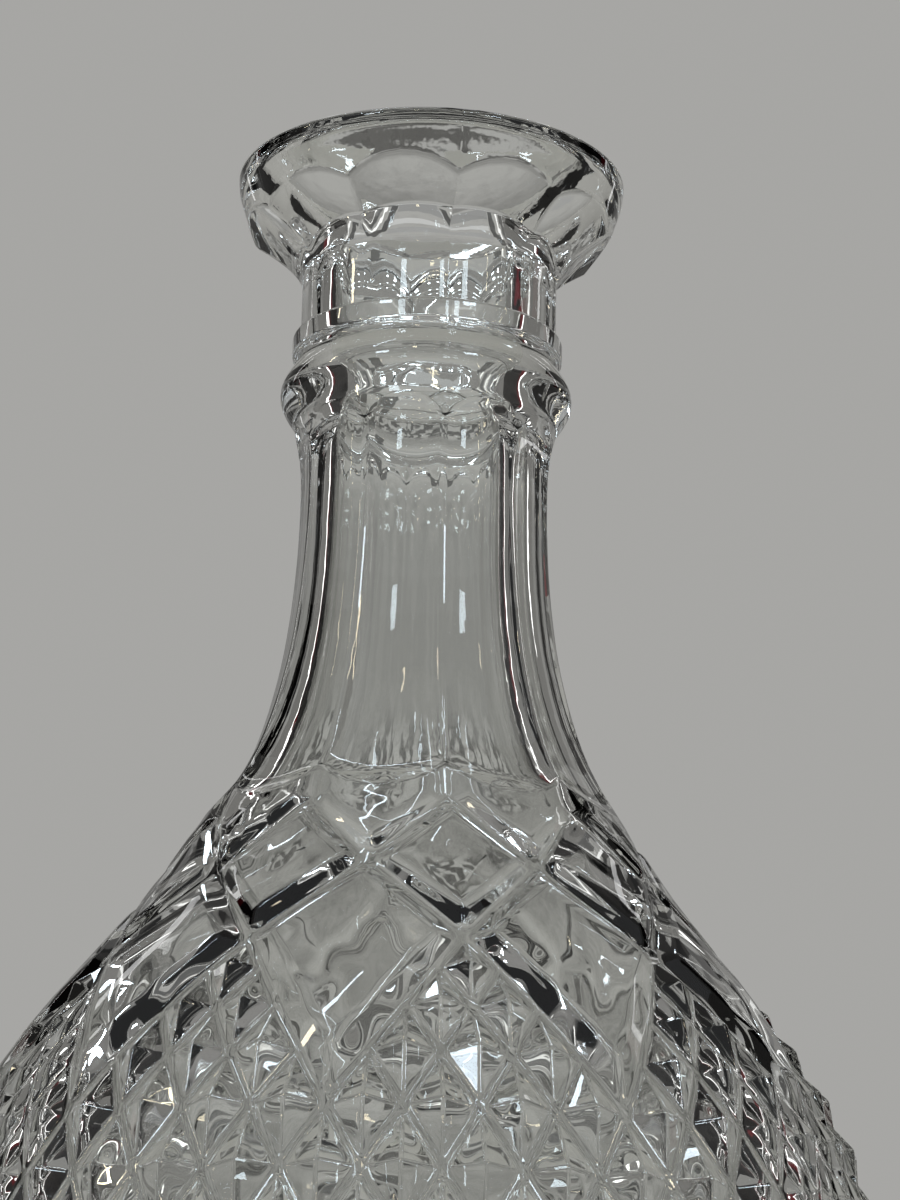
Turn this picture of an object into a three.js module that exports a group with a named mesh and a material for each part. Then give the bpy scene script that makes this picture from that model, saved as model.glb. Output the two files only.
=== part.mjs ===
// A crystal wine carafe: one piece of clear pressed glass with a flared mouth, a panelled neck and a
// body cut all over with a diamond pattern. Millimetres, +Z up, standing on Z = 0 about the Z axis.
// The wall is a stack of rings of points, from the middle of the floor inside, up the inner wall, over
// the lip, down the patterned outside and back to the middle of the underside.
import * as THREE from "three";

// Overall form. A "drop" is a depth below the rim, and a height is above the resting plane.
const overallHeight = 255;
const bellyRadius = 68;
const bellyHeight = 81;
const waistRadius = 18.4;
const waistDrop = 50;
const neckSweep = 39; // how far the curve of the neck keeps its upright direction
const shoulderRadius = 33.6;
const shoulderDrop = 104;
const shoulderLean = THREE.MathUtils.degToRad(31); // how far the shoulder leans out there
const shoulderSweepUp = 7.5;
const shoulderSweepDown = 23;
const bellySweep = 37.5; // the same for the belly, upwards
const lowerSweep = 38; // and for the belly, downwards

// Foot.
const footRadius = 43;
const footWidth = 5; // of the flat ring that the carafe rests on
const heelHeight = 4;
const heelSweep = 13;
const heelBevel = 1.2;
const plainBand = 9; // smooth glass between the heel and the diamonds
const plainBandEdge = 1.2; // run out of the last grooves into it
const recessDepth = 2.2;
const starCut = 1.1;

// Mouth: a rounded lip, an upright band under it and a flare with scallops down to the throat.
const lipRadius = 29;
const lipWall = 5; // width of the flat top
const lipRound = 0.7;
const lipBand = 2.9;
const bandTaper = 0.3;
const skirtLean = 0.32; // how far the skirt under the band runs in for its height
const scallopDrop = 6.9;
const scallopRise = 2.4;
const throatRadius = 19.2;
const throatDrop = 16.5;
const scallopDepth = 0.6; // how far each scallop is hollowed in the middle
const scallopDeepest = 0.75; // where it reaches that depth, as a share of the way down
const flareBend = 1.6; // how much sooner the flare runs in than down

// Sharp ring and round collar under the throat.
const ringDrop = 25.6;
const ringHeight = 3.3;
const ringProud = 0.8;
const ringBevel = 0.35;
const collarGap = 1.2;
const collarHeight = 9.2;
const collarRadius = 21.5;
const neckTopRadius = 19.3;

// Neck panels, one between every two ridges, with an arch at the top and a hanging arc at the bottom.
const panels = 10;
const archGap = 0.8; // plain glass between the collar and the top of an arch
const archRise = 2.6;
const archRun = 2.2; // height in which a panel sinks to nearly its depth
const sunkShare = 0.8; // and the share of its depth there
const panelFootDrop = 95.8;
const arcFall = 3;
const arcRun = 3;
const panelFade = 8; // height over which the straight panel ends above its arc

// Diamond pattern: grooves run down both ways, one small step sideways for each row.
const patternDrop = 100.4;
const stepsPerPanel = 8;
const steepTop = 1.12; // height of a half diamond for its width, at the top and further down
const steepBody = 1.8;
const steepenRows = 4; // rows over which they stretch
const cutDepth = 0.26; // depth of a groove for the width of one small diamond
const tableDepth = 0.85; // height of a smooth lozenge for that of a pyramid

// Inside.
const boreRadius = 13.4;
const boreFootDrop = 58;
const socketRadius = 14.2; // mouth of the slightly tapered seat that a stopper would have
const socketTopDrop = 7.8;
const socketFootDrop = 26;
const dishBend = 0.15; // how far the dish between the seat and the lip bulges outward
const dishRings = 3;
const cavityRings = 14;
const wall = 5.2;
const innerShoulderSweep = 66;
const innerBellySweep = 58;
const floorThickness = 9;
const floorRadius = 30;
const floorSweep = 34;
const innerHeelSweep = 16;

const fineColumns = panels * stepsPerPanel;
const coarseColumns = fineColumns / 2;
const stepAngle = (2 * Math.PI) / fineColumns;
const halfPanel = Math.PI / panels;
const heightOf = (drop) => overallHeight - drop;

// How far an angle lies from the nearest middle of a panel, from -1 on one ridge to 1 on the next.
const acrossPanel = (angle) => {
  const turn = angle / (2 * halfPanel);
  return 2 * (turn - Math.floor(turn)) - 1;
};
const mix = (a, b, t) => a + (b - a) * t;
const smooth = (t) => {
  const u = THREE.MathUtils.clamp(t, 0, 1);
  return u * u * (3 - 2 * u);
};

// Outer outline from the waist down to the heel, as radius and height.
const outline = new THREE.Path();
outline.moveTo(waistRadius, heightOf(waistDrop));
outline.bezierCurveTo(
  waistRadius, heightOf(waistDrop) - neckSweep,
  shoulderRadius - shoulderSweepUp * Math.sin(shoulderLean),
  heightOf(shoulderDrop) + shoulderSweepUp * Math.cos(shoulderLean),
  shoulderRadius, heightOf(shoulderDrop),
);
outline.bezierCurveTo(
  shoulderRadius + shoulderSweepDown * Math.sin(shoulderLean),
  heightOf(shoulderDrop) - shoulderSweepDown * Math.cos(shoulderLean),
  bellyRadius, bellyHeight + bellySweep,
  bellyRadius, bellyHeight,
);
outline.bezierCurveTo(
  bellyRadius, bellyHeight - lowerSweep,
  footRadius + heelSweep, heelHeight + heelSweep,
  footRadius, heelHeight,
);
const outlineLength = outline.getLength();

// Distance along an outline, from its top, at which it comes down to a height.
function lengthAtHeight(path, height) {
  const total = path.getLength();
  let above = 0;
  let below = total;
  for (let i = 0; i < 40; i++) {
    const middle = (above + below) / 2;
    if (path.getPoint(middle / total).y > height) above = middle;
    else below = middle;
  }
  return (above + below) / 2;
}

// Radius and height at a distance along the outer outline, a depth below its surface.
function outlinePoint(length, depth) {
  const u = THREE.MathUtils.clamp(length / outlineLength, 0, 1);
  const point = outline.getPoint(u);
  const ahead = outline.getPoint(Math.min(u + 1e-4, 1));
  const behind = outline.getPoint(Math.max(u - 1e-4, 0));
  const along = ahead.sub(behind).normalize();
  return new THREE.Vector2(point.x + along.y * depth, point.y - along.x * depth);
}

// Radius of the neck before its panels, between the collar and the foot of the panels.
function neckRadius(height) {
  const waist = heightOf(waistDrop);
  if (height < waist) return outlinePoint(lengthAtHeight(outline, height), 0).x;
  const collarFoot = heightOf(ringDrop + ringHeight + collarGap + collarHeight);
  const rise = (height - waist) / (collarFoot - waist);
  return mix(waistRadius, neckTopRadius, rise * rise);
}

// A ring of points: its shape gives radius and height for an angle and a column.
function ring(columns, shape) {
  const points = [];
  for (let column = 0; column < columns; column++) {
    const angle = (column * 2 * Math.PI) / columns;
    const { x: radius, y: height } = shape(angle, column);
    points.push(new THREE.Vector3(radius * Math.cos(angle), radius * Math.sin(angle), height));
  }
  return points;
}
const plainRing = (radius, height) => ring(coarseColumns, () => new THREE.Vector2(radius, height));

// Inner wall, from the floor up to the inner edge of the lip.
function innerRings() {
  const mouthEdge = lipRadius - lipRound - lipWall;
  const dish = [];
  for (let step = 0; step < dishRings; step++) {
    const down = step / dishRings;
    const outward = 1 - down + dishBend * down * (1 - down);
    dish.push(plainRing(mix(socketRadius, mouthEdge, outward), heightOf(socketTopDrop * down)));
  }
  const socket = [
    plainRing(socketRadius, heightOf(socketTopDrop)),
    plainRing(boreRadius, heightOf(socketFootDrop)),
  ];
  const cavity = new THREE.Path();
  cavity.moveTo(boreRadius, heightOf(boreFootDrop));
  cavity.bezierCurveTo(
    boreRadius, heightOf(boreFootDrop) - innerShoulderSweep,
    bellyRadius - wall, bellyHeight + innerBellySweep,
    bellyRadius - wall, bellyHeight,
  );
  cavity.bezierCurveTo(
    bellyRadius - wall, bellyHeight - floorSweep,
    floorRadius + innerHeelSweep, floorThickness,
    floorRadius, floorThickness,
  );
  const bowl = cavity.getSpacedPoints(cavityRings).map((point) => plainRing(point.x, point.y));
  return [...dish, ...socket, ...bowl].reverse();
}

// Lip, upright band, scalloped flare and throat.
function mouthRings() {
  const lip = [
    plainRing(lipRadius - lipRound, overallHeight),
    plainRing(lipRadius, heightOf(lipRound)),
    plainRing(lipRadius - bandTaper, heightOf(lipBand)),
  ];
  const scallopEdge = (across) => scallopDrop + scallopRise * across ** 2;
  const hollow = (across, down) => {
    const sunk = Math.sin(Math.PI * Math.min(down, scallopDeepest));
    return scallopDepth * (1 - across ** 2) * sunk;
  };
  const skirtRadius = (drop) => lipRadius - bandTaper - skirtLean * (drop - lipBand);
  const scallops = ring(coarseColumns, (angle) => {
    const drop = scallopEdge(acrossPanel(angle));
    return new THREE.Vector2(skirtRadius(drop), heightOf(drop));
  });
  const flareSteps = [1 / 3, 2 / 3, 1];
  const flare = flareSteps.map((down) =>
    ring(coarseColumns, (angle) => {
      const across = acrossPanel(angle);
      const start = scallopEdge(across);
      const inward = 1 - (1 - down) ** flareBend;
      const radius = mix(skirtRadius(start), throatRadius, inward) - hollow(across, down);
      return new THREE.Vector2(radius, heightOf(mix(start, throatDrop, down)));
    }),
  );
  const throatFoot = ring(coarseColumns, (angle) => {
    const radius = throatRadius - hollow(acrossPanel(angle), 1);
    return new THREE.Vector2(radius, heightOf(ringDrop));
  });
  return [...lip, scallops, ...flare, throatFoot];
}

// The sharp ring and the round collar.
function collarRings() {
  const ringRadius = throatRadius + ringProud;
  const ringFoot = ringDrop + ringHeight;
  const ringShape = [
    [ringRadius - ringBevel, ringDrop],
    [ringRadius, ringDrop + ringBevel],
    [ringRadius, ringFoot - ringBevel],
    [ringRadius - ringBevel, ringFoot],
    [throatRadius, ringFoot],
  ];
  const collarTop = ringFoot + collarGap;
  const steps = 6;
  const collar = [];
  for (let i = 0; i <= steps; i++) {
    const t = i / steps;
    const base = mix(throatRadius, neckTopRadius, t);
    const swell = (collarRadius - (throatRadius + neckTopRadius) / 2) * Math.sin(Math.PI * t);
    collar.push([base + swell, collarTop + collarHeight * t]);
  }
  return [...ringShape, ...collar].map(([radius, drop]) => plainRing(radius, heightOf(drop)));
}

// Neck: flat panels between ridges, fading out at the arches and at the hanging arcs.
function neckRings() {
  const archTop = ringDrop + ringHeight + collarGap + collarHeight + archGap;
  const startOf = (across) => archTop + archRise * across ** 2;
  const endOf = (across) => panelFootDrop + arcFall * (1 - across ** 2);
  const panelRing = (dropOf, share) =>
    ring(fineColumns, (angle) => {
      const across = acrossPanel(angle);
      const height = heightOf(dropOf(across));
      const round = neckRadius(height);
      const flat = (round * Math.cos(halfPanel)) / Math.cos(across * halfPanel);
      return new THREE.Vector2(mix(round, flat, share), height);
    });
  const rings = [
    panelRing(startOf, 0),
    panelRing((across) => startOf(across) + archRun, sunkShare),
    panelRing((across) => startOf(across) + 2 * archRun, 1),
  ];
  const straightTop = archTop + archRise + 3 * archRun;
  const straightFoot = panelFootDrop - panelFade;
  const straights = 5;
  for (let i = 0; i <= straights; i++) {
    rings.push(panelRing(() => mix(straightTop, straightFoot, i / straights), 1));
  }
  rings.push(panelRing((across) => endOf(across) - arcRun, sunkShare));
  rings.push(panelRing(endOf, 0));
  return rings;
}

// Distances along the outline of the rows of the pattern, from the first crossings to the plain band.
function patternRows() {
  const first = lengthAtHeight(outline, heightOf(patternDrop));
  const last = lengthAtHeight(outline, heelHeight + plainBand);
  const rows = [first];
  while (rows[rows.length - 1] < last) {
    const here = rows[rows.length - 1];
    const row = rows.length - 0.5;
    const opened = smooth(0.5 + (row - stepsPerPanel) / steepenRows);
    const steepness = mix(steepTop, steepBody, opened);
    rows.push(here + steepness * stepAngle * outlinePoint(here, 0).x);
  }
  const stretch = (last - first) / (rows[rows.length - 1] - first);
  return rows.map((row) => first + (row - first) * stretch);
}

// Depth of the pattern under the outline at one point, as a share of the height of a pyramid.
// Rows and columns count from a crossing on a ridge of the neck. Above the second row of crossings
// on the ridges only every eighth groove is cut, which leaves smooth lozenges; so it is inside the
// large lozenges that hang from the crossings under the panels.
function depthShare(row, column) {
  const untilGroove = (value) => {
    const rest = ((value % stepsPerPanel) + stepsPerPanel) % stepsPerPanel;
    return Math.min(rest, stepsPerPanel - rest);
  };
  const fallingDistance = untilGroove(column - row);
  const risingDistance = untilGroove(column + row);
  const nearest = Math.min(fallingDistance, risingDistance);
  const fromRidge = untilGroove(column);
  const inLozenge = row <= stepsPerPanel || row - stepsPerPanel < fromRidge;
  if (inLozenge) return nearest === 0 ? 1 : 1 - tableDepth;
  return (row + column) % 2 === 0 ? 1 : 0;
}

// Whether a square of the pattern is cut from its upper left to its lower right corner: along its
// groove, and where it has none, along the diagonal whose ends lie equally deep.
function cutFalls(row, column) {
  const grooveFalls = (row + column) % 2 === 0;
  const near = grooveFalls ? column : column + 1;
  const far = grooveFalls ? column + 1 : column;
  const level = depthShare(row, near) === depthShare(row + 1, far);
  return level ? grooveFalls : !grooveFalls;
}

function patternRings(rows) {
  return rows.map((length, row) =>
    ring(fineColumns, (angle, column) => {
      const smallWidth = 2 * stepAngle * outlinePoint(length, 0).x;
      const share = row === rows.length - 1 ? 1 : depthShare(row, column);
      return outlinePoint(length, share * cutDepth * smallWidth);
    }),
  );
}

// Plain band, heel, resting ring and the star in the underside.
function footRings() {
  const bandTop = outlinePoint(lengthAtHeight(outline, heelHeight + plainBand - plainBandEdge), 0);
  const bandMiddle = outlinePoint(lengthAtHeight(outline, heelHeight + plainBand / 2), 0);
  const recessRadius = footRadius - heelBevel - footWidth;
  const star = ring(coarseColumns, (angle, column) => {
    const cut = column % 2 === 0 ? starCut : 0;
    return new THREE.Vector2(recessRadius - recessDepth, recessDepth + cut);
  });
  return [
    plainRing(bandTop.x, bandTop.y),
    plainRing(bandMiddle.x, bandMiddle.y),
    plainRing(footRadius, heelHeight),
    plainRing(footRadius, heelBevel),
    plainRing(footRadius - heelBevel, 0),
    plainRing(recessRadius, 0),
    star,
  ];
}

// Joins the rings into one closed surface. Two rings of equal count are joined by squares, each cut
// from corner to corner as the pattern asks; a ring of half the count is joined by threes.
function closedSurface(rings, patternStart, floorCentre, baseCentre) {
  const positions = [];
  const corner = (point) => positions.push(point.x, point.y, point.z);
  const triangle = (a, b, c) => [a, b, c].forEach(corner);
  rings[0].forEach((point, i) => triangle(floorCentre, point, rings[0][(i + 1) % rings[0].length]));
  for (let row = 0; row + 1 < rings.length; row++) {
    const upper = rings[row];
    const lower = rings[row + 1];
    const count = Math.min(upper.length, lower.length);
    for (let i = 0; i < count; i++) {
      const next = (i + 1) % count;
      if (upper.length < lower.length) {
        const wide = [lower[2 * i], lower[2 * i + 1], lower[(2 * i + 2) % lower.length]];
        triangle(upper[i], wide[0], wide[1]);
        triangle(upper[i], wide[1], upper[next]);
        triangle(upper[next], wide[1], wide[2]);
      } else if (upper.length > lower.length) {
        const wide = [upper[2 * i], upper[2 * i + 1], upper[(2 * i + 2) % upper.length]];
        triangle(wide[0], lower[i], wide[1]);
        triangle(wide[1], lower[i], lower[next]);
        triangle(wide[1], lower[next], wide[2]);
      } else if (cutFalls(row - patternStart, i)) {
        triangle(upper[i], lower[i], lower[next]);
        triangle(upper[i], lower[next], upper[next]);
      } else {
        triangle(upper[i], lower[i], upper[next]);
        triangle(upper[next], lower[i], lower[next]);
      }
    }
  }
  const last = rings[rings.length - 1];
  last.forEach((point, i) => triangle(point, baseCentre, last[(i + 1) % last.length]));
  const geometry = new THREE.BufferGeometry();
  geometry.setAttribute("position", new THREE.Float32BufferAttribute(positions, 3));
  geometry.computeVertexNormals();
  return geometry;
}

function glassVessel() {
  const aboveThePattern = [...innerRings(), ...mouthRings(), ...collarRings(), ...neckRings()];
  const rings = [...aboveThePattern, ...patternRings(patternRows()), ...footRings()];
  const floorCentre = new THREE.Vector3(0, 0, floorThickness);
  const baseCentre = new THREE.Vector3(0, 0, recessDepth + starCut / 2);
  const geometry = closedSurface(rings, aboveThePattern.length, floorCentre, baseCentre);
  const crystal = new THREE.MeshStandardMaterial({
    color: 0xe9eeec,
    roughness: 0.03,
    metalness: 0,
    transparent: true,
    opacity: 0.45,
  });
  const vessel = new THREE.Mesh(geometry, crystal);
  vessel.name = "glass_vessel";
  return vessel;
}

const group = new THREE.Group();
group.add(glassVessel());

export default group;
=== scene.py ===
import math
from functools import partial

import bmesh
import bpy
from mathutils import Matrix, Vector, noise
from mathutils.geometry import interpolate_bezier


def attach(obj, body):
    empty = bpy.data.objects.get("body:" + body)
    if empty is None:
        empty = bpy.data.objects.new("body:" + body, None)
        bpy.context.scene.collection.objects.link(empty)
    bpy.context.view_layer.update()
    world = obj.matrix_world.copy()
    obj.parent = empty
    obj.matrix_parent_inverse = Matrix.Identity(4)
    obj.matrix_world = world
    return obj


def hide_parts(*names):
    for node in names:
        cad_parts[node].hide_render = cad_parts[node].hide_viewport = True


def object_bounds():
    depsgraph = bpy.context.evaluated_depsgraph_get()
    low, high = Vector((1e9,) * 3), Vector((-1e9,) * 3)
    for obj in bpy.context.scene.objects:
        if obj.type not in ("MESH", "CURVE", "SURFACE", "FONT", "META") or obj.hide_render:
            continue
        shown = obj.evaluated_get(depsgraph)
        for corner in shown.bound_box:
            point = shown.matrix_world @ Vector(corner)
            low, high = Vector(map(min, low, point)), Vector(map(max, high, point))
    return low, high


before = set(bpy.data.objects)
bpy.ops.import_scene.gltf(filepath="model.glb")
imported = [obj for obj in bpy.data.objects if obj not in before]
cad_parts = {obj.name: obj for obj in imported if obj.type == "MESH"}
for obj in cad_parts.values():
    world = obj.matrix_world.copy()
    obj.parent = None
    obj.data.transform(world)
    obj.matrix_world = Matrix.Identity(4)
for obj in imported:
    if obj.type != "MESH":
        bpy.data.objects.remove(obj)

cad_low, cad_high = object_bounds()

# Glass vessel: one piece of clear pressed crystal glass, blown and pressed in a two-part mould and
# fire-polished. It is spun from its section, then each ring of points gets the scallops, panels and
# diamonds of the mould, and every edge is softened as the flame leaves it.
mm = 0.001
overall_height = cad_high.z
belly_radius = cad_high.x
belly_height = 81 * mm
waist_radius = 18.4 * mm
waist_height = overall_height - 50 * mm
neck_sweep = 39 * mm
shoulder_radius = 33.6 * mm
shoulder_height = overall_height - 104 * mm
shoulder_lean = math.radians(31)
shoulder_sweep_up = 7.5 * mm
shoulder_sweep_down = 23 * mm
belly_sweep = 37.5 * mm
lower_sweep = 38 * mm
foot_radius = 43 * mm
heel_height = 4 * mm
heel_sweep = 13 * mm

panels = 10
steps_per_panel = 8
columns = panels * steps_per_panel
step_angle = 2 * math.pi / columns
half_panel = math.pi / panels
softening = 0.9 * mm  # half the width of a groove's round bottom
outline_steps = 400
direction_steps = 3  # the outline's direction is taken over so many of its steps both ways


def height_at(drop):
    """Height of a place so far below the rim, given in millimetres."""
    return overall_height - drop * mm


def mix(a, b, share):
    return a + (b - a) * share


def smooth(share):
    share = min(max(share, 0), 1)
    return share * share * (3 - 2 * share)


def across_panel(column):
    """From -1 on one ridge of the neck to 1 on the next."""
    return 2 * ((column / steps_per_panel) % 1) - 1


def curve(start, first_handle, second_handle, end, steps=outline_steps):
    corners = (Vector((*point, 0)) for point in (start, first_handle, second_handle, end))
    return [point.xy for point in interpolate_bezier(*corners, steps)]


shoulder = Vector((shoulder_radius, shoulder_height))
lean = Vector((math.sin(shoulder_lean), -math.cos(shoulder_lean)))
outline = curve(
    (waist_radius, waist_height), (waist_radius, waist_height - neck_sweep),
    shoulder - lean * shoulder_sweep_up, shoulder,
)
outline += curve(
    shoulder, shoulder + lean * shoulder_sweep_down,
    (belly_radius, belly_height + belly_sweep), (belly_radius, belly_height),
)[1:]
outline += curve(
    (belly_radius, belly_height), (belly_radius, belly_height - lower_sweep),
    (foot_radius + heel_sweep, heel_height + heel_sweep), (foot_radius, heel_height),
)[1:]
lengths = [0]
for above, below in zip(outline, outline[1:]):
    lengths.append(lengths[-1] + (below - above).length)


def length_at_height(height):
    """Distance along the outline, from the waist, at which it comes down to a height."""
    return next(length for length, point in zip(lengths, outline) if point.y <= height)


def outline_point(length, depth=0):
    """Radius and height at a distance along the outline, a depth below the surface."""
    index = next((i for i, reached in enumerate(lengths) if reached >= length), len(lengths) - 1)
    index = min(max(index, 1), len(outline) - 1)
    before, after = outline[index - 1], outline[index]
    share = (length - lengths[index - 1]) / (lengths[index] - lengths[index - 1])
    first = outline[max(index - 1 - direction_steps, 0)]
    last = outline[min(index + direction_steps, len(outline) - 1)]
    along = (last - first).normalized()
    return before.lerp(after, min(share, 1)) + Vector((along.y, -along.x)) * depth


rings = []  # one entry for each ring of points: its shape by column, and how soft its edge is
ridge_edges = {}  # how soft the ridge is that runs down from a ring
ridge_softness = 0.8


def ring(shape, soft=0.0, ridge=0.0):
    """Adds a ring. Its shape gives the radius and the height of the point in a column."""
    if ridge:
        ridge_edges[len(rings)] = ridge
    rings.append((shape, soft))


def plain_ring(radius, height, soft=0.0):
    ring(lambda column: (radius, height), soft)


# The inner wall, from the middle of the floor up to the mouth. It is a little uneven, as glass that
# only air or a plunger has shaped.
floor_height = 9 * mm
floor_radius = 30 * mm
wall = 5.2 * mm
bore_radius = 13.4 * mm
lip_radius = 29 * mm
lip_round = 0.7 * mm
lip_wall = 5 * mm
mouth_edge = lip_radius - lip_round - lip_wall
socket_radius = 14.2 * mm
socket_top = height_at(7.8)
socket_foot = height_at(26)
dish_bend = 0.15
bore_foot = height_at(58)
inner_shoulder_sweep = 66 * mm
inner_belly_sweep = 58 * mm
floor_sweep = 34 * mm
inner_heel_sweep = 16 * mm
ripple_depth = 0.03 * mm
ripple_size = 14 * mm
ripple_squeeze = 0.6  # ripples are longer up and down than across
floor_steps = 4
lower_steps = 14
upper_steps = 30
bore_steps = 20
socket_steps = 4
dish_steps = 6
inner_belly = belly_radius - wall


def rippled_ring(radius, height):
    def shape(column):
        angle = column * step_angle
        place = Vector((radius * math.cos(angle), radius * math.sin(angle), height * ripple_squeeze))
        return radius + ripple_depth * noise.noise(place / ripple_size), height

    ring(shape)


for step in range(floor_steps):
    plain_ring(floor_radius * step / floor_steps, floor_height)
inner = curve(
    (floor_radius, floor_height), (floor_radius + inner_heel_sweep, floor_height),
    (inner_belly, belly_height - floor_sweep), (inner_belly, belly_height), lower_steps,
)
inner += curve(
    (inner_belly, belly_height), (inner_belly, belly_height + inner_belly_sweep),
    (bore_radius, bore_foot - inner_shoulder_sweep), (bore_radius, bore_foot), upper_steps,
)[1:]
for step in range(1, bore_steps):
    inner.append(Vector((bore_radius, mix(bore_foot, socket_foot, step / bore_steps))))
for point in inner:
    rippled_ring(point.x, point.y)
for step in range(socket_steps):
    share = step / socket_steps
    plain_ring(mix(bore_radius, socket_radius, share), mix(socket_foot, socket_top, share))
plain_ring(socket_radius, socket_top, soft=0.5)
for step in range(1, dish_steps):
    share = step / dish_steps
    bent = share + dish_bend * share * (1 - share)
    plain_ring(mix(socket_radius, mouth_edge, bent), mix(socket_top, overall_height, share))

# The mouth: a rounded lip, an upright band and a smooth skirt, then ten scallops down to the throat.
lip_band = 2.9
band_taper = 0.3 * mm
skirt_lean = 0.32
scallop_drop = 6.9
scallop_rise = 2.4
scallop_depth = 0.6 * mm
scallop_deepest = 0.75
throat_radius = 19.2 * mm
throat_drop = 16.5
flare_bend = 1.6
flare_steps = 9
ring_drop = 25.6


def scallop_edge(column):
    return scallop_drop + scallop_rise * across_panel(column) ** 2


def skirt_radius(drop):
    return lip_radius - band_taper - skirt_lean * (drop - lip_band) * mm


def skirt_point(drop):
    return skirt_radius(drop), height_at(drop)


def hollow(column, down):
    """How far a scallop is sunk, at a share of the way down from its edge to the throat."""
    sunk = math.sin(math.pi * min(down, scallop_deepest))
    return scallop_depth * (1 - across_panel(column) ** 2) * sunk


def flare_ring(down):
    """A ring of the scalloped flare, at a share of the way down from its edge to the throat."""
    def shape(column):
        start = scallop_edge(column)
        inward = 1 - (1 - down) ** flare_bend
        radius = mix(skirt_radius(start), throat_radius, inward) - hollow(column, down)
        return radius, height_at(mix(start, throat_drop, down))

    ring(shape, ridge=ridge_softness)


inside_rings = len(rings)
plain_ring(mouth_edge, overall_height, soft=1.0)
plain_ring(lip_radius - lip_round, overall_height, soft=1.0)
lip_ring = len(rings)
plain_ring(lip_radius, overall_height - lip_round, soft=0.6)
plain_ring(lip_radius - band_taper, height_at(lip_band), soft=0.35)
for share in (0.35, 0.7):
    ring(lambda column, share=share: skirt_point(mix(lip_band, scallop_edge(column), share)))
ring(lambda column: skirt_point(scallop_edge(column)), soft=0.8, ridge=ridge_softness)
for step in range(1, flare_steps + 1):
    flare_ring(step / flare_steps)
for share in (1 / 3, 2 / 3):
    drop = mix(throat_drop, ring_drop, share)
    ring(
        lambda column, drop=drop: (throat_radius - hollow(column, 1), height_at(drop)),
        ridge=ridge_softness,
    )
ring(lambda column: (throat_radius - hollow(column, 1), height_at(ring_drop)), soft=0.3)

# The sharp ring and the round collar under the throat.
ring_height = 3.3
ring_proud = 0.8 * mm
collar_gap = 1.2
collar_height = 9.2
collar_radius = 21.5 * mm
neck_top_radius = 19.3 * mm
collar_steps = 12
ring_foot = ring_drop + ring_height
collar_top = ring_foot + collar_gap
collar_foot = collar_top + collar_height
plain_ring(throat_radius + ring_proud, height_at(ring_drop), soft=0.6)
plain_ring(throat_radius + ring_proud, height_at(ring_foot), soft=0.6)
plain_ring(throat_radius, height_at(ring_foot), soft=0.4)
collar_swell = collar_radius - (throat_radius + neck_top_radius) / 2
for step in range(collar_steps + 1):
    share = step / collar_steps
    base = mix(throat_radius, neck_top_radius, share)
    plain_ring(
        base + collar_swell * math.sin(math.pi * share), height_at(collar_top + collar_height * share),
        soft=0.6 if step in (0, collar_steps) else 0,
    )
collar_last = len(rings) - 1

# The neck: ten flat panels between ridges, each with an arch at its top and an arc at its foot.
arch_gap = 0.8
arch_rise = 2.6
arch_run = 2.2
panel_foot_drop = 95.8
arc_fall = 3
arc_run = 3
panel_fade = 8
arch_top = collar_foot + arch_gap
run_in_shares = (0.3, 0.6, 1)  # places on the short slope at a panel's top and foot
sunk_share = 0.85  # and the share of its depth that a panel has at the end of that slope
straight_steps = 18


def neck_radius(height):
    """Radius of the neck before its panels are pressed flat."""
    if height < waist_height:
        return outline_point(length_at_height(height)).x
    rise = (height - waist_height) / (height_at(collar_foot) - waist_height)
    return mix(waist_radius, neck_top_radius, rise * rise)


def panel_ring(drop_at, share, soft=0.0, ridge=ridge_softness):
    """A ring whose panels are pressed to a share of their depth, at a drop that varies across them."""
    def shape(column):
        across = across_panel(column)
        height = height_at(drop_at(across))
        round_radius = neck_radius(height)
        flat = round_radius * math.cos(half_panel) / math.cos(across * half_panel)
        return mix(round_radius, flat, share), height

    ring(shape, soft, ridge)


def arch(across):
    return arch_top + arch_rise * across ** 2


def arc(across):
    return panel_foot_drop + arc_fall * (1 - across ** 2)


def run_in_depth(share):
    return sunk_share * math.sin(share * math.pi / 2)


panel_ring(arch, 0, soft=0.5, ridge=0)
for share in run_in_shares:
    panel_ring(lambda across, share=share: arch(across) + arch_run * share, run_in_depth(share))
panel_ring(lambda across: arch(across) + 2 * arch_run, 1)
straight_top = arch_top + arch_rise + 3 * arch_run
straight_foot = panel_foot_drop - panel_fade
for step in range(straight_steps + 1):
    drop = mix(straight_top, straight_foot, step / straight_steps)
    panel_ring(lambda across, drop=drop: drop, 1)
panel_ring(lambda across: mix(straight_foot, arc(across) - arc_run, 0.5), 1)
for share in reversed(run_in_shares):
    panel_ring(lambda across, share=share: arc(across) - arc_run * share, run_in_depth(share))
panel_ring(arc, 0, soft=0.6, ridge=0)

# The diamonds: grooves run down both ways, one small step sideways for each row. Smooth lozenges lie
# on the shoulder, and pyramids cover the body below them.
pattern_drop = 100.4
steep_top = 1.12  # how far down a row on the shoulder goes, as a share of its step sideways
steep_body = 1.8  # and a row on the body
steepen_rows = 4  # it changes from one to the other over so many rows
cut_depth = 0.26  # height of a pyramid above its grooves, as a share of its width
table_height = 0.85  # height of a smooth lozenge, as a share of a pyramid's
plain_band = 9 * mm
pattern_start = len(rings)
pattern_end = heel_height + plain_band
row_lengths = [length_at_height(height_at(pattern_drop))]
last_length = length_at_height(pattern_end)
while row_lengths[-1] < last_length:
    row = len(row_lengths) - 0.5
    opened = smooth(0.5 + (row - steps_per_panel) / steepen_rows)
    steepness = mix(steep_top, steep_body, opened)
    row_lengths.append(row_lengths[-1] + steepness * step_angle * outline_point(row_lengths[-1]).x)
first_length = row_lengths[0]
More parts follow.
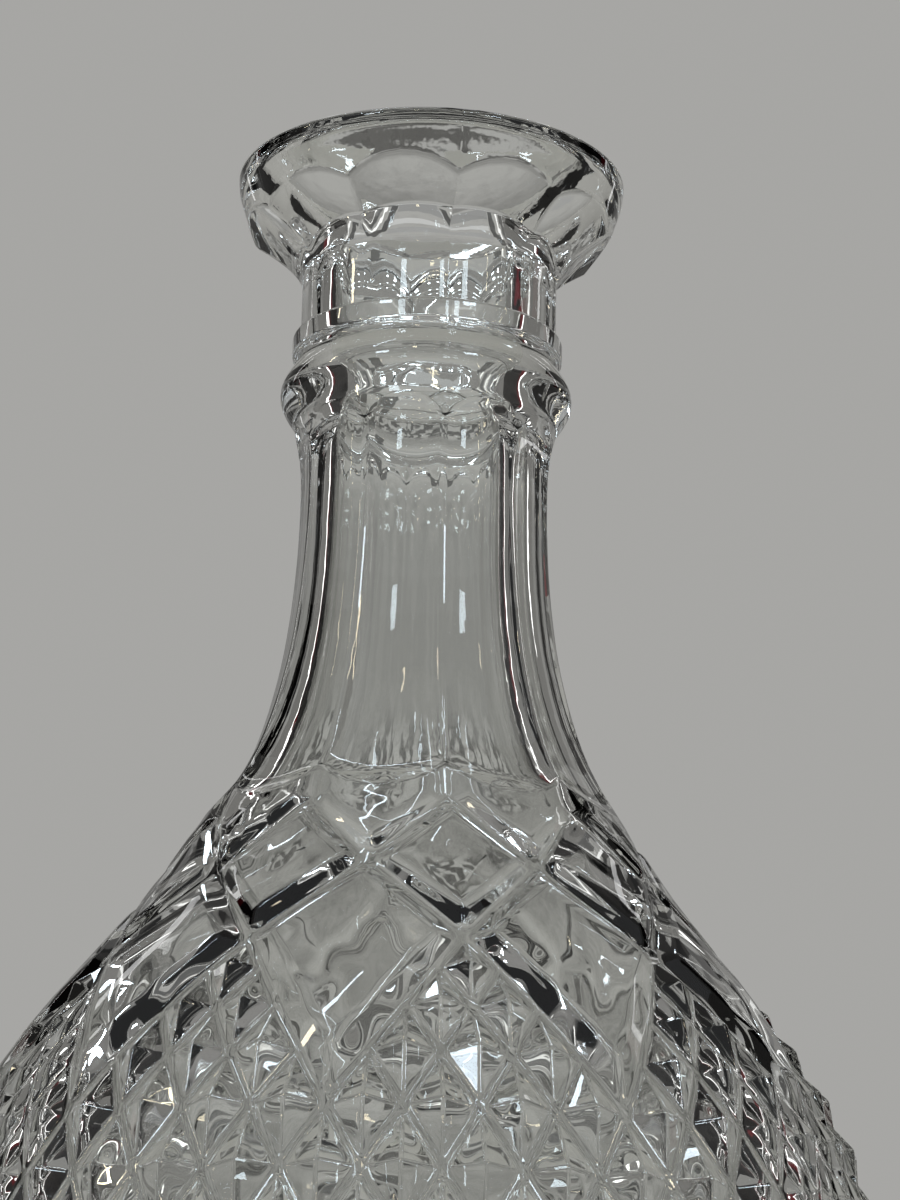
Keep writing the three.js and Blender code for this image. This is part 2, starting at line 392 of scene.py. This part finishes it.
stretch = (last_length - first_length) / (row_lengths[-1] - first_length)
row_lengths = [first_length + (length - first_length) * stretch for length in row_lengths]
rows = len(row_lengths)


def until_groove(value):
    """Steps to the nearest of the grooves that part the lozenges."""
    rest = value % steps_per_panel
    return min(rest, steps_per_panel - rest)


def in_lozenge(row, column):
    return row <= steps_per_panel or row - steps_per_panel < until_groove(column)


def depth_share(row, column):
    """Depth of a point of the pattern, as a share of a pyramid's height."""
    if row == rows - 1:
        return 1
    if in_lozenge(row, column):
        nearest = min(until_groove(column - row), until_groove(column + row))
        return 1 if nearest == 0 else 1 - table_height
    return (row + column + 1) % 2


for row, length in enumerate(row_lengths):
    def pattern_shape(column, row=row, length=length):
        small_width = 2 * step_angle * outline_point(length).x
        return outline_point(length, depth_share(row, round(column)) * cut_depth * small_width)

    ring(pattern_shape)
pattern_last = len(rings) - 1

# The heel, the ring that the carafe stands on and the star under the base.
foot_width = 5 * mm
recess_depth = 2.2 * mm
star_cut = 1.1 * mm
star_waist = 0.5  # where its rays bend, as a share of its radius
star_waist_cut = 0.7  # and how deep they are cut there, as a share of their deepest
columns_per_ray = 4
recess_radius = foot_radius - foot_width


def star_ring(radius, cut, soft=0.0):
    def shape(column):
        return radius, recess_depth + cut * (round(column) % columns_per_ray == 0)

    ring(shape, soft)


for share in (0.8, 0.5, 0.2):
    point = outline_point(length_at_height(heel_height + plain_band * share))
    plain_ring(point.x, point.y)
plain_ring(foot_radius, heel_height, soft=1.0)
plain_ring(foot_radius, 0, soft=1.6)
plain_ring(recess_radius, 0, soft=0.8)
star_ring(recess_radius - recess_depth, star_cut, soft=0.4)
star_ring(recess_radius * star_waist, star_cut * star_waist_cut)
plain_ring(0, recess_depth)

# The section is spun into columns, and each point then goes where its ring's shape says.
vessel_bm = bmesh.new()
ring_of = vessel_bm.verts.layers.int.new("ring")
section = []
for index, (shape, soft) in enumerate(rings):
    vert = vessel_bm.verts.new((index + 1, 0, 0))
    vert[ring_of] = index
    section.append(vert)
section_edges = [vessel_bm.edges.new(pair) for pair in zip(section, section[1:])]
bmesh.ops.spin(
    vessel_bm, geom=section + section_edges, axis=(0, 0, 1), cent=(0, 0, 0),
    steps=columns, angle=2 * math.pi, use_merge=True,
)
column_of = vessel_bm.verts.layers.int.new("column")
for vert in vessel_bm.verts:
    column = round(math.atan2(vert.co.y, vert.co.x) / step_angle) % columns
    vert[column_of] = column
    radius, height = rings[vert[ring_of]][0](column)
    angle = column * step_angle
    vert.co = (radius * math.cos(angle), radius * math.sin(angle), height)
bmesh.ops.remove_doubles(vessel_bm, verts=vessel_bm.verts, dist=0.001 * mm)


def depth_of(vert):
    return depth_share(vert[ring_of] - pattern_start, vert[column_of])


def is_even(vert):
    """Whether the point is on one or the other of the two sets that alternate like a chessboard."""
    return (vert[ring_of] - pattern_start + vert[column_of]) % 2 == 0


# Each square of the pattern is parted along its groove, and where it has none, along the diagonal
# whose ends lie equally deep.
for face in list(vessel_bm.faces):
    if all(pattern_start <= vert[ring_of] <= pattern_last for vert in face.verts):
        even = [vert for vert in face.verts if is_even(vert)]
        odd = [vert for vert in face.verts if not is_even(vert)]
        ends = even if depth_of(even[0]) == depth_of(even[1]) else odd
        bmesh.utils.face_split(face, *ends)

# The seam that the two halves of the mould leave: a fine ridge down the mouth, the ring and the
# collar, on two sides.
seam_column = 24  # and the one across from it
no_column = -1  # for the points that part the seam from the wall beside it
seam_height = 0.07 * mm
seam_half_width = 0.2 * mm
seam_rings = range(lip_ring, collar_last + 1)
seam_angle = seam_column * step_angle
aside_of_seam = Vector((-math.sin(seam_angle), math.cos(seam_angle), 0))


def on_seam(vert):
    return vert[column_of] != no_column and vert[column_of] % (columns // 2) == seam_column


for side in (-1, 1):
    near_seam = [
        face for face in vessel_bm.faces
        if all(vert[ring_of] in seam_rings for vert in face.verts)
        and any(on_seam(vert) for vert in face.verts)
    ]
    parts = dict.fromkeys(part for face in near_seam for part in (face, *face.edges, *face.verts))
    cut = bmesh.ops.bisect_plane(
        vessel_bm, geom=list(parts),
        plane_co=aside_of_seam * side * seam_half_width, plane_no=aside_of_seam,
    )
    for part in cut["geom_cut"]:
        if isinstance(part, bmesh.types.BMVert):
            part[column_of] = no_column
for vert in vessel_bm.verts:
    if vert[ring_of] in seam_rings and on_seam(vert):
        outward = vert.co.xy.normalized() * seam_height
        vert.co += Vector((*outward, 0))

# How far each edge is softened, where 1 is the usual softening. Edges round the vessel take it from
# their ring, ridges from the ring that they run down from, and the pattern from its depths.
bmesh.ops.recalc_face_normals(vessel_bm, faces=vessel_bm.faces)
groove_softness = 1.0
pyramid_softness = 0.4
table_softness = 1.1
least_bend = math.radians(6)  # an edge of the pattern that bends less is left as it is
weight = vessel_bm.edges.layers.float.new("bevel_weight_edge")
for edge in vessel_bm.edges:
    first, second = edge.verts
    ring_a, ring_b = sorted((first[ring_of], second[ring_of]))
    if pattern_start <= ring_a and ring_b <= pattern_last:
        deep_a, deep_b = depth_of(first), depth_of(second)
        if len(edge.link_faces) == 2 and edge.calc_face_angle(0) > least_bend:
            if deep_a == 1 and deep_b == 1:
                edge[weight] = groove_softness
            elif deep_a + deep_b == 1:
                edge[weight] = pyramid_softness
            else:
                edge[weight] = table_softness
    elif ring_a == ring_b:
        edge[weight] = rings[ring_a][1]
    elif first[column_of] == second[column_of] and first[column_of] % steps_per_panel == 0:
        in_seam = ring_a in seam_rings and on_seam(first)
        if ring_b in ridge_edges and not in_seam:
            edge[weight] = ridge_edges.get(ring_a, 0)

# What the material needs to know of the inner wall: how strong the marks of the plunger are, which
# row of the pattern lies outside, and how far the glass was blown into the pyramids there.
pressed_foot = height_at(96)  # the marks fade from here
marks_end = height_at(112)  # to here
blown_fade_top = 16 * mm
blown_fade_foot = 8 * mm
inside_of = vessel_bm.verts.layers.float.new("inside")
row_of = vessel_bm.verts.layers.float.new("row")
blown_of = vessel_bm.verts.layers.float.new("blown")
row_heights = [outline_point(length).y for length in row_lengths]


def row_at(height):
    """The row at a height, as a number that runs on evenly from one row to the next."""
    low = next((i for i, reached in enumerate(row_heights) if reached <= height), rows - 1)
    low = max(low, 1)
    share = (row_heights[low - 1] - height) / (row_heights[low - 1] - row_heights[low])
    return low - 1 + share


for vert in vessel_bm.verts:
    if vert[ring_of] < inside_rings:
        below_lozenges = row_heights[steps_per_panel] - vert.co.z
        above_last_row = vert.co.z - row_heights[-1]
        vert[inside_of] = smooth((vert.co.z - marks_end) / (pressed_foot - marks_end))
        vert[row_of] = row_at(vert.co.z)
        blown_above = smooth(above_last_row / blown_fade_foot)
        vert[blown_of] = smooth(below_lozenges / blown_fade_top) * blown_above
for face in vessel_bm.faces:
    face.smooth = True
vessel_mesh = bpy.data.meshes.new("carafe_glass")
vessel_bm.to_mesh(vessel_mesh)
vessel_bm.free()
vessel = bpy.data.objects.new("carafe_glass", vessel_mesh)
bpy.context.scene.collection.objects.link(vessel)

# The flame rounds the edges, and the flats between them stay flat.
bevel = vessel.modifiers.new("fire_polish", "BEVEL")
bevel.limit_method = "WEIGHT"
bevel.width = softening
bevel.segments = 3
bevel.use_clamp_overlap = False
flats = vessel.modifiers.new("keep_flats", "WEIGHTED_NORMAL")
flats.keep_sharp = True

# Clear glass with a faintly wavy surface and a few smears. Inside it has ripples and streaks of the
# plunger down the neck, and a shallow soft hollow behind each pyramid.
wave_strength = 0.12
ripple_strength = 0.16
streak_strength = 0.06
hollow_strength = 1.0
bump_height = 0.1 * mm  # of a bump whose strength is 1
smear_roughness = 0.06
glass_tint = (0.975, 0.985, 0.96)
refraction = 1.53
crystal = bpy.data.materials.new("clear_crystal")
crystal.use_nodes = True
nodes, links = crystal.node_tree.nodes, crystal.node_tree.links
shader = nodes["Principled BSDF"]
shader.inputs["Base Color"].default_value = (*glass_tint, 1)
shader.inputs["Transmission Weight"].default_value = 1
shader.inputs["IOR"].default_value = refraction
place = nodes.new("ShaderNodeTexCoord").outputs["Object"]


def math_node(tree, operation, *values):
    """A Math node whose inputs are numbers or the outputs of other nodes."""
    node = tree.nodes.new("ShaderNodeMath")
    node.operation = operation
    for socket, value in zip(node.inputs, values):
        if isinstance(value, (int, float)):
            socket.default_value = value
        else:
            tree.links.new(value, socket)
    return node.outputs["Value"]


glass_math = partial(math_node, crystal.node_tree)


def noise_texture(scale, stretch, detail):
    """Noise with about so many patches to a metre across, and a share of that many up and down."""
    scaled = nodes.new("ShaderNodeMapping")
    scaled.inputs["Scale"].default_value = (scale, scale, scale * stretch)
    links.new(place, scaled.inputs["Vector"])
    node = nodes.new("ShaderNodeTexNoise")
    node.inputs["Scale"].default_value = 1
    node.inputs["Detail"].default_value = detail
    links.new(scaled.outputs["Vector"], node.inputs["Vector"])
    return node.outputs["Fac"]


def attribute(name):
    node = nodes.new("ShaderNodeAttribute")
    node.attribute_name = name
    return node.outputs["Fac"]


marked = attribute("inside")
broad_waves = noise_texture(scale=170, stretch=1, detail=1)
ripples = glass_math("MULTIPLY", noise_texture(scale=620, stretch=0.35, detail=1), marked)
streaks = glass_math("MULTIPLY", noise_texture(scale=1800, stretch=0.02, detail=0), marked)
position = nodes.new("ShaderNodeSeparateXYZ")
links.new(place, position.inputs["Vector"])
turn = glass_math("ARCTAN2", position.outputs["Y"], position.outputs["X"])
across = glass_math("COSINE", glass_math("MULTIPLY", turn, columns / 2))
down = glass_math("COSINE", glass_math("MULTIPLY", attribute("row"), math.pi))
hollows = glass_math("MULTIPLY", glass_math("MULTIPLY", across, down), attribute("blown"))
uneven = glass_math("MULTIPLY", broad_waves, wave_strength)
uneven = glass_math("MULTIPLY_ADD", ripples, ripple_strength, uneven)
uneven = glass_math("MULTIPLY_ADD", streaks, streak_strength, uneven)
uneven = glass_math("MULTIPLY_ADD", hollows, hollow_strength, uneven)
bump = nodes.new("ShaderNodeBump")
bump.inputs["Strength"].default_value = 1
bump.inputs["Distance"].default_value = bump_height
links.new(uneven, bump.inputs["Height"])
links.new(bump.outputs["Normal"], shader.inputs["Normal"])
smears = nodes.new("ShaderNodeMapRange")
smears.interpolation_type = "SMOOTHSTEP"
smears.inputs["From Min"].default_value = 0.5
smears.inputs["From Max"].default_value = 0.75
smears.inputs["To Max"].default_value = smear_roughness
links.new(noise_texture(scale=60, stretch=0.6, detail=4), smears.inputs["Value"])
links.new(smears.outputs["Result"], shader.inputs["Roughness"])
vessel.data.materials.append(crystal)

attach(vessel, "root")
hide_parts("glass_vessel")

# Studio: a plain pale floor and backdrop, soft lamps and the camera at the photograph's angle.
backdrop_grey = (0.385, 0.382, 0.37)
paper_grey = (0.68, 0.675, 0.66)
paper_radius = 3
floor_bm = bmesh.new()
bmesh.ops.create_circle(floor_bm, cap_ends=True, segments=64, radius=paper_radius)
floor_mesh = bpy.data.meshes.new("floor")
floor_bm.to_mesh(floor_mesh)
floor_bm.free()
floor = bpy.data.objects.new("floor", floor_mesh)
bpy.context.scene.collection.objects.link(floor)
paper = bpy.data.materials.new("pale_paper")
paper.use_nodes = True
paper_shader = paper.node_tree.nodes["Principled BSDF"]
paper_shader.inputs["Base Color"].default_value = (*paper_grey, 1)
paper_shader.inputs["Roughness"].default_value = 0.9
paper_shader.inputs["Specular IOR Level"].default_value = 0
floor.data.materials.append(paper)

# The sky is an even grey, but the glass mirrors and refracts soft cards, panes and dark bars in it.
# They are laid by their direction: the turn from the middle of the backdrop and the height, in degrees.
backdrop_azimuth = 98.6  # of its middle, in degrees from +X
world = bpy.data.worlds.new("studio")
bpy.context.scene.world = world
world.use_nodes = True
sky, sky_links = world.node_tree.nodes, world.node_tree.links
sky_math = partial(math_node, world.node_tree)
direction = sky.new("ShaderNodeSeparateXYZ")
sky_links.new(sky.new("ShaderNodeTexCoord").outputs["Generated"], direction.inputs["Vector"])
backdrop_x = math.cos(math.radians(backdrop_azimuth))
backdrop_y = math.sin(math.radians(backdrop_azimuth))
ahead = sky_math(
    "ADD", sky_math("MULTIPLY", direction.outputs["X"], backdrop_x),
    sky_math("MULTIPLY", direction.outputs["Y"], backdrop_y),
)
aside = sky_math(
    "ADD", sky_math("MULTIPLY", direction.outputs["X"], backdrop_y),
    sky_math("MULTIPLY", direction.outputs["Y"], -backdrop_x),
)
yaw = sky_math("ARCTAN2", aside, ahead)
rise = sky_math("ARCSINE", direction.outputs["Z"])


def laid_over(ground, colour, share):
    """Mixes a second colour over the first; each is three numbers or the output of another node."""
    node = sky.new("ShaderNodeMixRGB")
    sky_links.new(share, node.inputs["Fac"])
    for socket, value in ((node.inputs["Color1"], ground), (node.inputs["Color2"], colour)):
        if isinstance(value, tuple):
            socket.default_value = (*value, 1)
        else:
            sky_links.new(value, socket)
    return node.outputs["Color"]


def eased(value, low, high):
    """From 0 at the low value to 1 at the high one."""
    node = sky.new("ShaderNodeMapRange")
    node.interpolation_type = "SMOOTHSTEP"
    node.inputs["From Min"].default_value = low
    node.inputs["From Max"].default_value = high
    sky_links.new(value, node.inputs["Value"])
    return node.outputs["Result"]


def sky_noise(across, upward, detail):
    """Uneven grey over the sky, with so many patches to a radian each way."""
    spread = sky.new("ShaderNodeCombineXYZ")
    sky_links.new(sky_math("MULTIPLY", yaw, across), spread.inputs["X"])
    sky_links.new(sky_math("MULTIPLY", rise, upward), spread.inputs["Y"])
    node = sky.new("ShaderNodeTexNoise")
    node.inputs["Scale"].default_value = 1
    node.inputs["Detail"].default_value = detail
    sky_links.new(spread.outputs["Vector"], node.inputs["Vector"])
    return node.outputs["Fac"]


def between(value, low, high):
    """1 where an angle lies between two others, which are in degrees, and 0 elsewhere."""
    return sky_math("COMPARE", value, math.radians(low + high) / 2, math.radians(high - low) / 2)


def card(ground, colour, yaw_from, yaw_to, rise_from, rise_to):
    """Lays an evenly lit card over the sky, between two turns and two heights in degrees."""
    share = sky_math("MULTIPLY", between(yaw, yaw_from, yaw_to), between(rise, rise_from, rise_to))
    return laid_over(ground, colour, share)


ceiling = (0.22, 0.215, 0.21)
room = (0.17, 0.166, 0.16)
low_room = (0.23, 0.227, 0.22)
shaded_cloth = (0.225, 0.223, 0.216)
dark_forms = (0.09, 0.088, 0.085)
pale_forms = (0.37, 0.368, 0.36)
lit_cloth = (0.38, 0.376, 0.366)
dark_red = (0.10, 0.008, 0.012)
dim_card = (0.09, 0.088, 0.085)
pale_wall = (0.40, 0.41, 0.42)
black_card = (0.012, 0.011, 0.011)
cool_pane = (14, 16.2, 18)
warm_pane = (18, 15.8, 11.5)
wide_cards = (  # each from one turn to another, then from one height to another
    (low_room, 60, 180, -8, 8), (low_room, -180, -60, -8, 8),
    (room, 30, 180, 8, 90), (room, -180, -30, 8, 90),
    (ceiling, -180, 180, 48, 90),
    (pale_wall, 100, 180, 8, 72), (pale_wall, -180, -100, 8, 72),
    (black_card, -84, -60, 8, 50), (black_card, 62, 86, 8, 50),
    (dim_card, 17, 26, 23, 36), (dim_card, -26, -17, 23, 36),
    (dark_red, 57.5, 62, 8, 30), (dark_red, -60, -57.5, 8, 30),
)
side_bars = (  # turn of the nearer and the farther edge, on either side, and the grey
    (14, 19, 0.07), (23, 26, 1.2), (30, 38, 0.10), (43, 45, 2.4), (47, 52, 0.04),
)
high_bar_heights = (34, 46)
low_bar_heights = (7, 14)
low_bars_beyond = 28  # bars that lie farther aside than this are repeated low in the sky
bright_bar = (3, 3, 3)
bright_bar_turns = (55, 57)
bright_bar_heights = (12, 40)
middle_bars = (  # lowest and highest edge, and the grey
    (32, 35, 0.34), (37, 39, 0.55), (42, 47, 0.28),
)
middle_bar_turns = (-13, 13)
cool_panes = (
    (-150, -139, 23, 31), (138, 149, 23, 31), (-127, -124, 50, 80), (147, 149, 50, 80),
    (-41, -34, 51, 56), (-13, -8, 51, 56), (8, 13, 51, 56), (33, 40, 51, 56), (160, 163, 50, 54),
)
warm_panes = ((-100, -98.5, 20, 34), (104, 107, 30, 34), (-172, -168, 40, 46))
fold_contrast = 1.1

# What the glass sees, from the back forwards: folds of pale cloth above dark forms, then the wide
# cards of the room, then bars, and last the small bright panes that make its sparks.
folds = sky_math("SUBTRACT", sky_noise(across=9, upward=26, detail=3), 0.5)
lit_above = eased(rise, math.radians(12), math.radians(30))
lit = sky_math("MULTIPLY_ADD", folds, fold_contrast, lit_above)
cloth = laid_over(shaded_cloth, lit_cloth, sky_math("MINIMUM", sky_math("MAXIMUM", lit, 0), 1))
patches = eased(sky_noise(across=13, upward=20, detail=1), 0.45, 0.57)
forms = laid_over(dark_forms, pale_forms, patches)
seen = laid_over(forms, cloth, eased(rise, math.radians(8), math.radians(13)))
for colour, *edges in wide_cards:
    seen = card(seen, colour, *edges)
for side in (-1, 1):
    for near, far, grey in side_bars:
        turns = sorted((side * near, side * far))
        if near > low_bars_beyond:
            seen = card(seen, (grey, grey, grey), *turns, *low_bar_heights)
        seen = card(seen, (grey, grey, grey), *turns, *high_bar_heights)
    turns = sorted(side * turn for turn in bright_bar_turns)
    seen = card(seen, bright_bar, *turns, *bright_bar_heights)
for low, high, grey in middle_bars:
    seen = card(seen, (grey, grey, grey), *middle_bar_turns, low, high)
for edges in cool_panes:
    seen = card(seen, cool_pane, *edges)
for edges in warm_panes:
    seen = card(seen, warm_pane, *edges)

# Only rays that the glass mirrors or refracts see the cards. All others see the even grey.
light_path = sky.new("ShaderNodeLightPath")
by_glass = sky_math(
    "MAXIMUM", light_path.outputs["Is Glossy Ray"], light_path.outputs["Is Transmission Ray"],
)
undiffused = sky_math("LESS_THAN", light_path.outputs["Diffuse Depth"], 0.5)
by_glass = sky_math("MULTIPLY", by_glass, undiffused)
plain_sky = sky["Background"]
plain_sky.inputs["Color"].default_value = (*backdrop_grey, 1)
card_sky = sky.new("ShaderNodeBackground")
sky_links.new(seen, card_sky.inputs["Color"])
either = sky.new("ShaderNodeMixShader")
sky_links.new(by_glass, either.inputs["Fac"])
sky_links.new(plain_sky.outputs["Background"], either.inputs[1])
sky_links.new(card_sky.outputs["Background"], either.inputs[2])
sky_links.new(either.outputs["Shader"], sky["World Output"].inputs["Surface"])


lit_point = Vector((0, 0, 0.15))


def lamp(name, place, size, power):
    """A soft lamp that lights the room but isn't mirrored in the glass."""
    light = bpy.data.lights.new(name, "AREA")
    light.shape = "RECTANGLE"
    light.size, light.size_y = size
    light.energy = power
    holder = bpy.data.objects.new(name, light)
    holder.location = place
    aim = lit_point - Vector(place)
    holder.rotation_euler = aim.to_track_quat("-Z", "Y").to_euler()
    holder.visible_glossy = False
    holder.visible_transmission = False
    bpy.context.scene.collection.objects.link(holder)


lamp("window_left", place=(-1.4, -0.9, 1.3), size=(0.8, 1.0), power=10)
lamp("window_right", place=(1.3, -1.2, 0.9), size=(0.5, 0.9), power=4)

# The camera, fitted to the mouth, the ring, the crossings of the pattern and both outlines.
camera_place = (0.07405274, -0.4408467, 0.06281264)
camera_turns = (105.887, -1.300, 8.621)
camera_data = bpy.data.cameras.new("camera")
camera_data.lens = 96
camera_data.clip_start = 0.01
camera = bpy.data.objects.new("camera", camera_data)
camera.location = camera_place
camera.rotation_euler = [math.radians(angle) for angle in camera_turns]
bpy.context.scene.collection.objects.link(camera)
bpy.context.scene.camera = camera
bpy.context.scene.view_settings.view_transform = "Standard"
